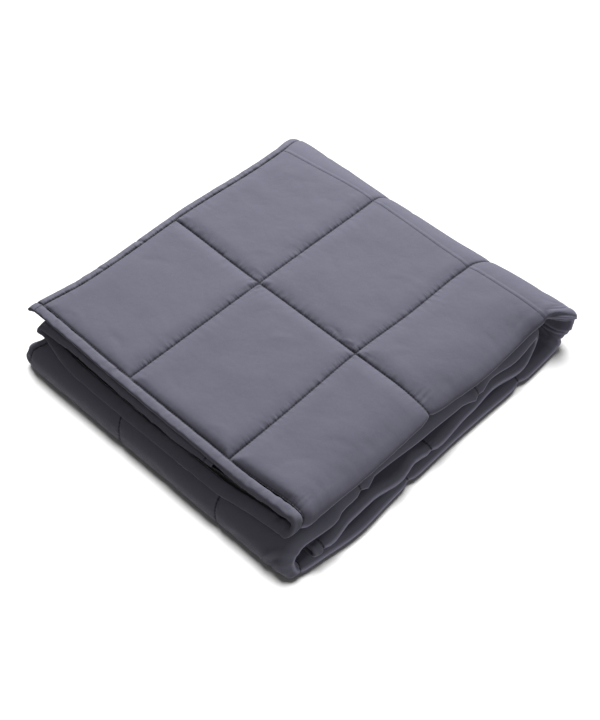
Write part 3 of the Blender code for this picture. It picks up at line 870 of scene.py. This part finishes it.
def rim_faces(fine, coarse, flip):
    """Closes the rim between a fine line of points and a coarse one that meets it."""
    faces = []
    for k in range(len(coarse) - 1):
        strip = fine[k * BACK_EVERY : (k + 1) * BACK_EVERY + 1]
        face = [*coarse[k : k + 2], *strip[::-1]]
        faces.append(face[::-1] if flip else face)
    return faces


def seam_values(across, along):
    """How far points are from the stitch lines, and how much painted highlight they get."""
    from_column = distance_to(across, LINES_ACROSS)
    from_row = np.min([
        np.abs(along - line) + FAINT_SEAM * (1 - pinch) for line, pinch in SEAMS_ALONG], axis=0)
    # a lighter line painted along the fold's ridge and the highest crests, where light catches them
    painted_highlight = swell(across - RIDGE_LINE, RIDGE_HIGHLIGHT_RUN) + CREST_HIGHLIGHT * crest_highlights(across, along)
    return np.stack([from_column, from_row, painted_highlight], 1)


def make_quilt(material):
    columns, rows = whole(stations_across()), whole(stations_along())
    along, across = np.meshgrid(rows, columns, indexing="ij")
    front = place(across, along, front_lift(across, along))
    back_along, back_across = along[::BACK_EVERY, ::BACK_EVERY], across[::BACK_EVERY, ::BACK_EVERY]
    back = place(back_across, back_along, back_lift(back_across, back_along))
    at = np.arange(across.size).reshape(across.shape)
    back_at = across.size + np.arange(back_across.size).reshape(back_across.shape)
    faces = grid_faces(at) + grid_faces(back_at, flip=True)
    for rim, back_rim, flip in (
            (at[:, 0], back_at[:, 0], False), (at[:, -1], back_at[:, -1], True),
            (at[0], back_at[0], True), (at[-1], back_at[-1], False)):
        faces += rim_faces(rim.tolist(), back_rim.tolist(), flip)
    points = np.concatenate([front.reshape(-1, 3), back.reshape(-1, 3)])
    # the back's places start past the front's, so that the two have other shades
    flat = np.concatenate([
        np.stack([across.ravel(), along.ravel(), gathered(along).ravel()], 1),
        np.stack([back_across.ravel() + 2 * WIDTH, back_along.ravel(), 0 * back_along.ravel()], 1)])
    seams = seam_values(flat[:, 0], flat[:, 1])
    quilt = make_piece("blanket_quilt", points, faces, flat, seams, material)
    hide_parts("quilt")
    return quilt


# --- bindings ---


def bar(width):
    """The outline of a folded strip: how far in from the edge, and its share of lift."""
    turned = 2 * math.pi * (np.arange(BINDING_SIDES) + 0.5) / BINDING_SIDES
    out, up = np.cos(turned), np.sin(turned)
    inward = width / 2 * (1 - np.sign(out) * np.abs(out) ** BINDING_ROUNDNESS)
    return inward, np.sign(up) * np.abs(up) ** BINDING_ROUNDNESS


def on_lower_layer(across):
    """1 on the lower layer of the strip of three, 0 on the others."""
    starts, ends = (across - FOLD_ENDS) / UNDER_RUN, (across - TUCK_STARTS) / UNDER_RUN
    return smooth(starts) * (1 - smooth(ends))


def slanted(run, inward, pitches, seed):
    """Uneven values that slant over a strip."""
    along_strip, slant, across_strip = pitches
    return noise(run / along_strip + inward / slant, inward / across_strip, seed)


def puckers(run, inward, side):
    """The puckers of a strip and the small creases that run across it, as shares."""
    fine_run, fine_inward = run / FINE_PUCKER_PITCHES[0], inward / FINE_PUCKER_PITCHES[1]
    pucker = slanted(run, inward, PUCKER_PITCHES, PUCKER_SEED + side)
    pucker = pucker + FINE_PUCKER * noise(fine_run, fine_inward, FINE_PUCKER_SEED + side)
    crossed = np.abs(slanted(run, inward, CROSS_PITCHES, CROSS_SEED + side))
    patch = 0.5 + 0.5 * noise(run / CROSS_PATCH, 0.0, CROSS_PATCH_SEED + side)
    return pucker, np.maximum(0.0, 1 - CROSS_SHARPNESS * crossed) * patch


def make_binding(name, node, side, far, material):
    """A strip over one edge of the blanket: side says whether the edge runs along, and far
    whether it's the one with the larger places."""
    width = (SIDE_BINDING if side else END_BINDING) + BINDING_TUCK
    total, edge = (LENGTH, WIDTH) if side else (WIDTH, LENGTH)
    start = END_BINDING + SEAT_GAP if side else 0.0
    runs = np.linspace(start, total - start, int((total - 2 * start) / BINDING_STEP))
    outline_in, outline_up = bar(width)
    run, inward = np.meshgrid(runs, outline_in, indexing="ij")
    up = np.broadcast_to(outline_up, run.shape)
    if not side:
        inward = inward - END_OVERHANG * (1 - inward / width)
    from_edge = edge - inward if far else inward
    across, along = (from_edge, run) if side else (run, from_edge)

    middle = np.full_like(across, edge - width / 2 if far else width / 2)
    room = section(middle, along)[3] if side else section(across, middle)[3]
    room = np.minimum(room, SIDE_BINDING_HALF if side else BINDING_HALF)
    if not side:
        room = room * (1 + END_SWELL * smooth(across / FOLD_STARTS) * (across < FOLD_ENDS))
    past_pinch = (inward / width - STRIP_PINCH_FROM) / (1 - STRIP_PINCH_FROM)
    inner = 1 - STRIP_PINCH * smooth(past_pinch)
    full = smooth(STRIP_END + np.minimum(run - start, total - start - run) / STRIP_END_RUN)
    pucker, crossed = puckers(run, inward, side)
    lift = up * room * inner * full + PUCKER * pucker * np.abs(up)
    lift = lift - CROSS_PUCKER * crossed * up * full
    if side and not far:
        for fold in STRIP_FOLDS:
            slant = run - fold - STRIP_FOLD_SLANT * inward
            lift = lift - STRIP_FOLD * swell(slant, STRIP_FOLD_RUN) * up
    under = 0.0 if side else on_lower_layer(across)
    if not side:
        flap_end = smooth((across - WIDTH + FLAP_END_RUN) / FLAP_END_RUN)
        for thinner, share in ((UNDER_THINNER, under), (FLAP_THINNER, flap_end)):
            lift = mix(lift, room + (lift - room) * thinner, share)

    points = place(across, along, lift).reshape(-1, 3)
    flat = np.stack([across, along, np.full_like(across, STRIP_GATHERS)], -1).reshape(-1, 3)
    from_stitch = np.abs(width - TOPSTITCH_IN - inward)
    # a lighter line painted along the binding's outer edge, where light catches it, strongest on
    # the lower layer
    from_corner = np.hypot(inward, (1 - up) * room)
    painted_highlight = swell(from_corner, BINDING_HIGHLIGHT_RUN) * mix(*BINDING_HIGHLIGHT, under)
    if side:
        seams = [from_stitch, np.full_like(from_stitch, NO_SEAM), painted_highlight]
    else:
        seams = [distance_to(across, SIDE_LINES), from_stitch, painted_highlight]
    seams = np.stack(seams, -1).reshape(-1, 3)
    piece = make_piece(
        name, points, tube_faces(*lift.shape), flat, seams, material)
    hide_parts(node)
    return piece


# --- stitches ---


def stitched_runs():
    """The parts of the stitch lines that show: whether they run along, where, from and to."""
    page = END_BINDING, along_at("far turn", FAR_TURN_STITCHED)
    near_turn = along_at("near turn", 0.0), along_at("near turn", NEAR_TURN_STITCHED)
    return (
        [(True, line, *page) for line in COLUMN_LINES[:2]]
        + [(False, line, SIDE_BINDING, FOLD_ENDS) for line in ROW_LINES[:2]]
        + [(True, line, *near_turn) for line in COLUMN_LINES[:2]])


def make_stitches(material):
    """The threads that show, as small bars on the cloth along each stitch line."""
    pitch = STITCH + STITCH_GAP
    shares = np.linspace(0.0, 1.0, STITCH_RINGS)
    places = []
    for lengthways, line, start, stop in stitched_runs():
        run = np.arange(start + pitch, stop - pitch, pitch)[:, None] + STITCH * shares
        lines = np.full_like(run, line)
        places.append([lines, run] if lengthways else [run, lines])
    across, along = np.concatenate(places, 1)
    lift = front_lift(across, along) + THREAD * THREAD_LIFT
    middle = place(across, along, lift)
    over = place(across, along, lift + THREAD) - middle
    over /= np.linalg.norm(over, axis=-1, keepdims=True)
    beside = np.cross(np.gradient(middle, axis=1), over)
    beside /= np.linalg.norm(beside, axis=-1, keepdims=True)
    section_shares = np.maximum(THREAD_ENDS, 1 - (2 * shares - 1) ** THREAD_BLUNTNESS)
    half = THREAD * np.sqrt(section_shares)[None, :, None]
    turns = 2 * math.pi * np.arange(STITCH_SIDES) / STITCH_SIDES
    points = np.stack([
        middle + half * (math.cos(turn) * beside + math.sin(turn) * over) for turn in turns], 2)
    count = STITCH_RINGS * STITCH_SIDES
    faces = []
    for first in range(0, len(across) * count, count):
        faces += tube_faces(STITCH_RINGS, STITCH_SIDES, first)
    flat = np.stack([across, along, 0 * along], -1).reshape(-1, 3).repeat(STITCH_SIDES, axis=0)
    seams = np.tile((NO_SEAM, NO_SEAM, 0.0), (len(flat), 1))
    return make_piece(
        "quilt_stitches", points.reshape(-1, 3), faces, flat, seams, material)


# --- materials ---

COTTON = (0.0815, 0.0812, 0.1145, 1.0)
STRIP_COTTON = (0.088, 0.0877, 0.121, 1.0)
THREAD_COTTON = (0.060, 0.060, 0.082, 1.0)
WEAVE = 0.0007  # two threads
WEAVE_DEPTH = 0.00003
SLUB = (2400.0, 190.0)  # how often a thread's thickness changes, across it and along it
SLUB_DEPTH = 0.00007
SLUB_TINT = 0.16
SHADE_SCALES = (9.0, 55.0, 420.0)
SHADE_TINTS = (0.05, 0.05, 0.10)
SHADE_DETAIL = 4.0
WRINKLE_SCALE = 34.0
WRINKLE_DEPTH = 0.0012
WRINKLE_DETAIL = 3.0
SEAM_LINE = 0.0019  # how far from a seam its dark line of painted shade ends
SEAM_LINE_CORE = 0.0005  # and how far it's full
# how much the painted shade line darkens the colour
SEAM_PAINTED_SHADE = 0.84
SEAM_DOTS = (0.80, 0.20)  # its strength, and how much it changes at each stitch
GATHER_SCALE = (150.0, 30.0)  # how often the cloth gathers along a seam, and away from it
GATHER_REACH = 0.010
GATHER_DEPTH = 0.0029
# how much the painted highlight lightens the colour
HIGHLIGHT_TINT = 1.9
ROUGHNESS = (0.82, 0.1)  # and how much it changes
COTTON_SOCKETS = {"Specular IOR Level": 0.35, "Sheen Weight": 0.25, "Sheen Roughness": 0.4,
                  "Sheen Tint": (0.8, 0.8, 0.9, 1.0)}
FLOOR_SOCKETS = {"Base Color": (0.75, 0.75, 0.75, 1.0), "Roughness": 0.9, "Specular IOR Level": 0.1}


class Nodes:
    """Makes shader nodes whose inputs are given as numbers or as other nodes' outputs."""

    def __init__(self, tree):
        self.tree = tree

    def make(self, kind, inputs, output=0, **settings):
        node = self.tree.nodes.new(kind)
        for name, value in settings.items():
            setattr(node, name, value)
        for key, value in inputs.items():
            if isinstance(value, bpy.types.NodeSocket):
                self.tree.links.new(value, node.inputs[key])
            else:
                node.inputs[key].default_value = value
        return node.outputs[output]

    def math(self, operation, *values):
        return self.make("ShaderNodeMath", dict(enumerate(values)), operation=operation)

    def times(self, a, b):
        return self.math("MULTIPLY", a, b)

    def noise(self, x, y, x_scale, y_scale, detail=2.0):
        """Uneven values round 0, about as many to the metre as the scales say."""
        x, y = self.times(x, x_scale), self.times(y, y_scale)
        vector = self.make("ShaderNodeCombineXYZ", {0: x, 1: y})
        found = self.make("ShaderNodeTexNoise", {"Vector": vector, "Scale": 1.0, "Detail": detail})
        return self.math("SUBTRACT", found, 0.5)

    def fade(self, value, reach, starts=0.0):
        """1 up to starts, softly falling to 0 at reach."""
        return self.make(
            "ShaderNodeMapRange", {0: value, 1: starts, 2: reach, 3: 1.0, 4: 0.0},
            interpolation_type="SMOOTHSTEP")

    def total(self, *values):
        found = values[0]
        for value in values[1:]:
            found = self.math("ADD", found, value)
        return found


def new_material(name, sockets):
    """A material and its shader, with numbers and colours set on the shader's sockets."""
    material = bpy.data.materials.new(name)
    material.use_nodes = True
    shader = material.node_tree.nodes["Principled BSDF"]
    for socket, value in sockets.items():
        shader.inputs[socket].default_value = value
    return material, shader


def cotton_material(name, colour):
    material, shader = new_material(name, COTTON_SOCKETS)
    nodes = Nodes(material.node_tree)
    link = material.node_tree.links.new
    times = nodes.times

    def split(attribute):
        vector = nodes.make("ShaderNodeAttribute", {}, 1, attribute_name=attribute)
        return [nodes.make("ShaderNodeSeparateXYZ", {0: vector}, i) for i in range(3)]

    across, along, gather_share = split("cloth")
    from_column, from_row, painted_highlight = split("seams")

    threads = [nodes.math("SINE", times(way, 2 * math.pi / WEAVE)) for way in (across, along)]
    weave = times(threads[0], threads[1])
    warp, weft = [nodes.noise(across, along, *scales) for scales in (SLUB, SLUB[::-1])]
    slubs = nodes.total(warp, weft)
    shades = [nodes.noise(across, along, scale, scale, SHADE_DETAIL) for scale in SHADE_SCALES]
    wrinkles = nodes.noise(across, along, WRINKLE_SCALE, WRINKLE_SCALE, WRINKLE_DETAIL)

    # each seam's line of painted shade, deepest at each stitch, and its gathers' ripples
    lines, ripples = [], []
    for away, run, side in ((from_column, along, across), (from_row, across, along)):
        dotted = nodes.math("SINE", times(run, 2 * math.pi / (STITCH + STITCH_GAP)))
        strength = nodes.total(SEAM_DOTS[0], times(dotted, SEAM_DOTS[1]))
        lines.append(times(nodes.fade(away, SEAM_LINE, SEAM_LINE_CORE), strength))
        gather = nodes.noise(run, side, *GATHER_SCALE)
        ripples.append(times(times(gather, gather_share), nodes.fade(away, GATHER_REACH)))
    line = nodes.math("MAXIMUM", *lines)

    height = nodes.total(
        times(weave, WEAVE_DEPTH), times(slubs, SLUB_DEPTH), times(wrinkles, WRINKLE_DEPTH),
        *[times(ripple, GATHER_DEPTH) for ripple in ripples])
    bump = nodes.make("ShaderNodeBump", {"Strength": 1.0, "Distance": 1.0, "Height": height})
    link(bump, shader.inputs["Normal"])

    # the colour, varied by slubs and random tones, lightened by the painted highlight and darkened
    # by the painted shade line
    tint = nodes.total(
        1.0, times(slubs, SLUB_TINT), times(painted_highlight, HIGHLIGHT_TINT),
        *[times(shade, share) for shade, share in zip(shades, SHADE_TINTS)])
    tint = times(tint, nodes.math("SUBTRACT", 1.0, times(line, SEAM_PAINTED_SHADE)))
    tinted = nodes.make(
        "ShaderNodeVectorMath", {0: tuple(colour[:3]), "Scale": tint}, operation="SCALE")
    link(tinted, shader.inputs["Base Color"])
    roughness = nodes.total(ROUGHNESS[0], times(shades[1], ROUGHNESS[1]))
    link(roughness, shader.inputs["Roughness"])
    return material


# --- camera, floor and light ---

CAMERA_AT = (0.765, -0.790, 1.2769)
CAMERA_AZIMUTH = 43.95
CAMERA_ELEVATION = 49.37
LENS = 67.13
SENSOR = 36.0

FLOOR_REACH = 4.0
WORLD_COLOUR = (1.0, 0.98, 0.945, 1.0)
WORLD_STRENGTH = (0.145, 0.95)  # as a light, and how much more where the camera sees it

AREA_LIGHTS = (  # name, place, size, power and colour
    ("key", (-1.50, 2.30, 2.50), 1.0, 312.0, (1.0, 1.0, 1.0)),
    ("fill", (2.0, -0.3, 0.50), 1.2, 16.0, (1.0, 0.98, 0.92)),
    ("front_fill", (-0.6, -2.0, 0.40), 1.2, 4.2, (1.0, 0.98, 0.90)),
)
FLOOR_LIGHT_AT = (-0.10, 0.15, 2.20)
FLOOR_LIGHT_ANGLE = 0.52
FLOOR_LIGHT_POWER = 5.2


def hang(data, at, way):
    """Places a camera or a light so that it looks the given way."""
    holder = new_object(data.name, data)
    holder.location = at
    holder.rotation_euler = way.to_track_quat("-Z", "Y").to_euler()
    return holder


def make_camera():
    camera = bpy.data.cameras.new("camera")
    camera.sensor_width = SENSOR
    camera.sensor_fit = "AUTO"
    camera.lens = LENS
    azimuth, elevation = math.radians(CAMERA_AZIMUTH), math.radians(CAMERA_ELEVATION)
    forward = Vector((-math.sin(azimuth) * math.cos(elevation),
                      math.cos(azimuth) * math.cos(elevation), -math.sin(elevation)))
    bpy.context.scene.camera = hang(camera, CAMERA_AT, forward)


def hang_light(light, at, receivers):
    """Points a light at the middle of the floor, so that it shines on the receivers alone."""
    holder = hang(light, at, -Vector(at))
    lit = bpy.data.collections.new("lit_by_" + light.name)
    for receiver in receivers:
        lit.objects.link(receiver)
    holder.light_linking.receiver_collection = lit


def make_floor():
    mesh = bpy.data.meshes.new("floor")
    corners = [(x * FLOOR_REACH, y * FLOOR_REACH, 0) for x in (-1, 1) for y in (-1, 1)]
    mesh.from_pydata(corners, [], [(0, 2, 3, 1)])
    mesh.materials.append(new_material("floor", FLOOR_SOCKETS)[0])
    floor = new_object("floor", mesh)
    floor.visible_diffuse = False
    floor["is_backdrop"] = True
    return floor


def make_world():
    """White where the camera sees it, and dim as a light."""
    world = bpy.data.worlds.new("studio")
    world.use_nodes = True
    background = world.node_tree.nodes["Background"]
    background.inputs["Color"].default_value = WORLD_COLOUR
    nodes = Nodes(world.node_tree)
    seen = nodes.make("ShaderNodeLightPath", {})
    strength = nodes.total(WORLD_STRENGTH[0], nodes.times(seen, WORLD_STRENGTH[1]))
    world.node_tree.links.new(strength, background.inputs["Strength"])
    bpy.context.scene.world = world


def make_lights(pieces, floor):
    """Square lights that shine on the blanket alone, and a soft sun for the floor."""
    for name, at, size, power, colour in AREA_LIGHTS:
        light = bpy.data.lights.new(name, "AREA")
        light.shape = "SQUARE"
        light.size = size
        light.energy = power
        light.color = colour
        hang_light(light, at, pieces)
    sun = bpy.data.lights.new("floor_light", "SUN")
    sun.angle = FLOOR_LIGHT_ANGLE
    sun.energy = FLOOR_LIGHT_POWER
    hang_light(sun, FLOOR_LIGHT_AT, [floor])


# what Blender's first scene holds isn't part of this one
scene = bpy.context.scene
for old in list(scene.objects):
    if old.type in ("LIGHT", "CAMERA") or (old.type == "MESH" and old.name == "Cube"):
        bpy.data.objects.remove(old, do_unlink=True)
scene.view_settings.view_transform = "Standard"

quilt_cotton = cotton_material("quilt_cotton", COTTON)
binding_cotton = cotton_material("binding_cotton", STRIP_COTTON)
quilt = make_quilt(quilt_cotton)
bindings = [
    make_binding("loose_end_binding", "binding_loose_end", False, False, binding_cotton),
    make_binding("inner_end_binding", "binding_inner_end", False, True, binding_cotton),
    make_binding("outer_side_binding", "binding_outer_side", True, False, binding_cotton),
    make_binding("flap_side_binding", "binding_flap_side", True, True, binding_cotton),
]
stitches = make_stitches(cotton_material("thread", THREAD_COTTON))
make_camera()
make_world()
make_lights([quilt, stitches] + bindings, make_floor())

boxes = {"cad": cad_box, "visual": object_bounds()}
({key: [list(map(float, corner)) for corner in value]
           for key, value in boxes.items()})
